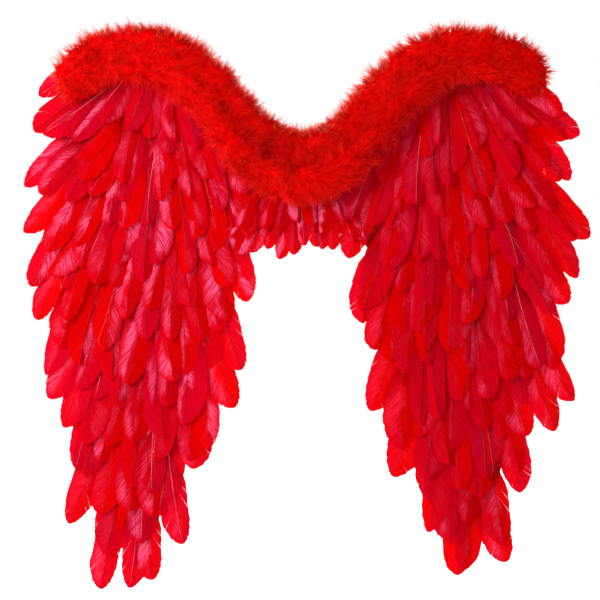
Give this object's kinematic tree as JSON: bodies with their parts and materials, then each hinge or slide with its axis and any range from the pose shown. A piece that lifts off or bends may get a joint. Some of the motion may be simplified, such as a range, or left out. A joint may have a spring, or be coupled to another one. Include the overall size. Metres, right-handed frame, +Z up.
{
  "type": "feather costume wings",
  "caption": "Pair of broad costume wings for the back, covered in lapped rows of long feathers, with a fluffy trim over the top edge and shoulder loops behind.",
  "frame": {"origin": "centre of the back pad's rear face, which rests between the wearer's shoulder blades", "axes": "+Z up along the wearer's back, +Y towards the wearer, so the feathered side faces -Y; X runs across the wings and the left wing, as seen from the feathered side, is at -X"},
  "size_m": [0.653, 0.1993, 0.6697],
  "materials": {
    "feather_vane": "dyed goose or turkey feather vanes with a soft silky sheen",
    "marabou_fluff": "dyed marabou down, matt and very soft",
    "backing_felt": "stiff felt-covered board, matt",
    "elastic_strap": "flat ribbed elastic webbing, matt"
  },
  "bodies": {
    "root": {"back_pad": "backing_felt", "left_wing_board": "backing_felt", "right_wing_board": "backing_felt", "left_shoulder_strap": "elastic_strap", "right_shoulder_strap": "elastic_strap", "left_feather_row_01": "feather_vane", "left_feather_row_02": "feather_vane", "left_feather_row_03": "feather_vane", "left_feather_row_04": "feather_vane", "left_feather_row_05": "feather_vane", "left_feather_row_06": "feather_vane", "left_feather_row_07": "feather_vane", "left_feather_row_08": "feather_vane", "left_feather_row_09": "feather_vane", "left_feather_row_10": "feather_vane", "left_feather_row_11": "feather_vane", "left_feather_row_12": "feather_vane", "left_feather_row_13": "feather_vane", "right_feather_row_01": "feather_vane", "right_feather_row_02": "feather_vane", "right_feather_row_03": "feather_vane", "right_feather_row_04": "feather_vane", "right_feather_row_05": "feather_vane", "right_feather_row_06": "feather_vane", "right_feather_row_07": "feather_vane", "right_feather_row_08": "feather_vane", "right_feather_row_09": "feather_vane", "right_feather_row_10": "feather_vane", "right_feather_row_11": "feather_vane", "right_feather_row_12": "feather_vane", "right_feather_row_13": "feather_vane", "bridge_fringe_back": "feather_vane", "bridge_fringe_front": "feather_vane", "left_fluff_trim": "marabou_fluff", "centre_fluff_trim": "marabou_fluff", "right_fluff_trim": "marabou_fluff"}
  },
  "joints": []
}
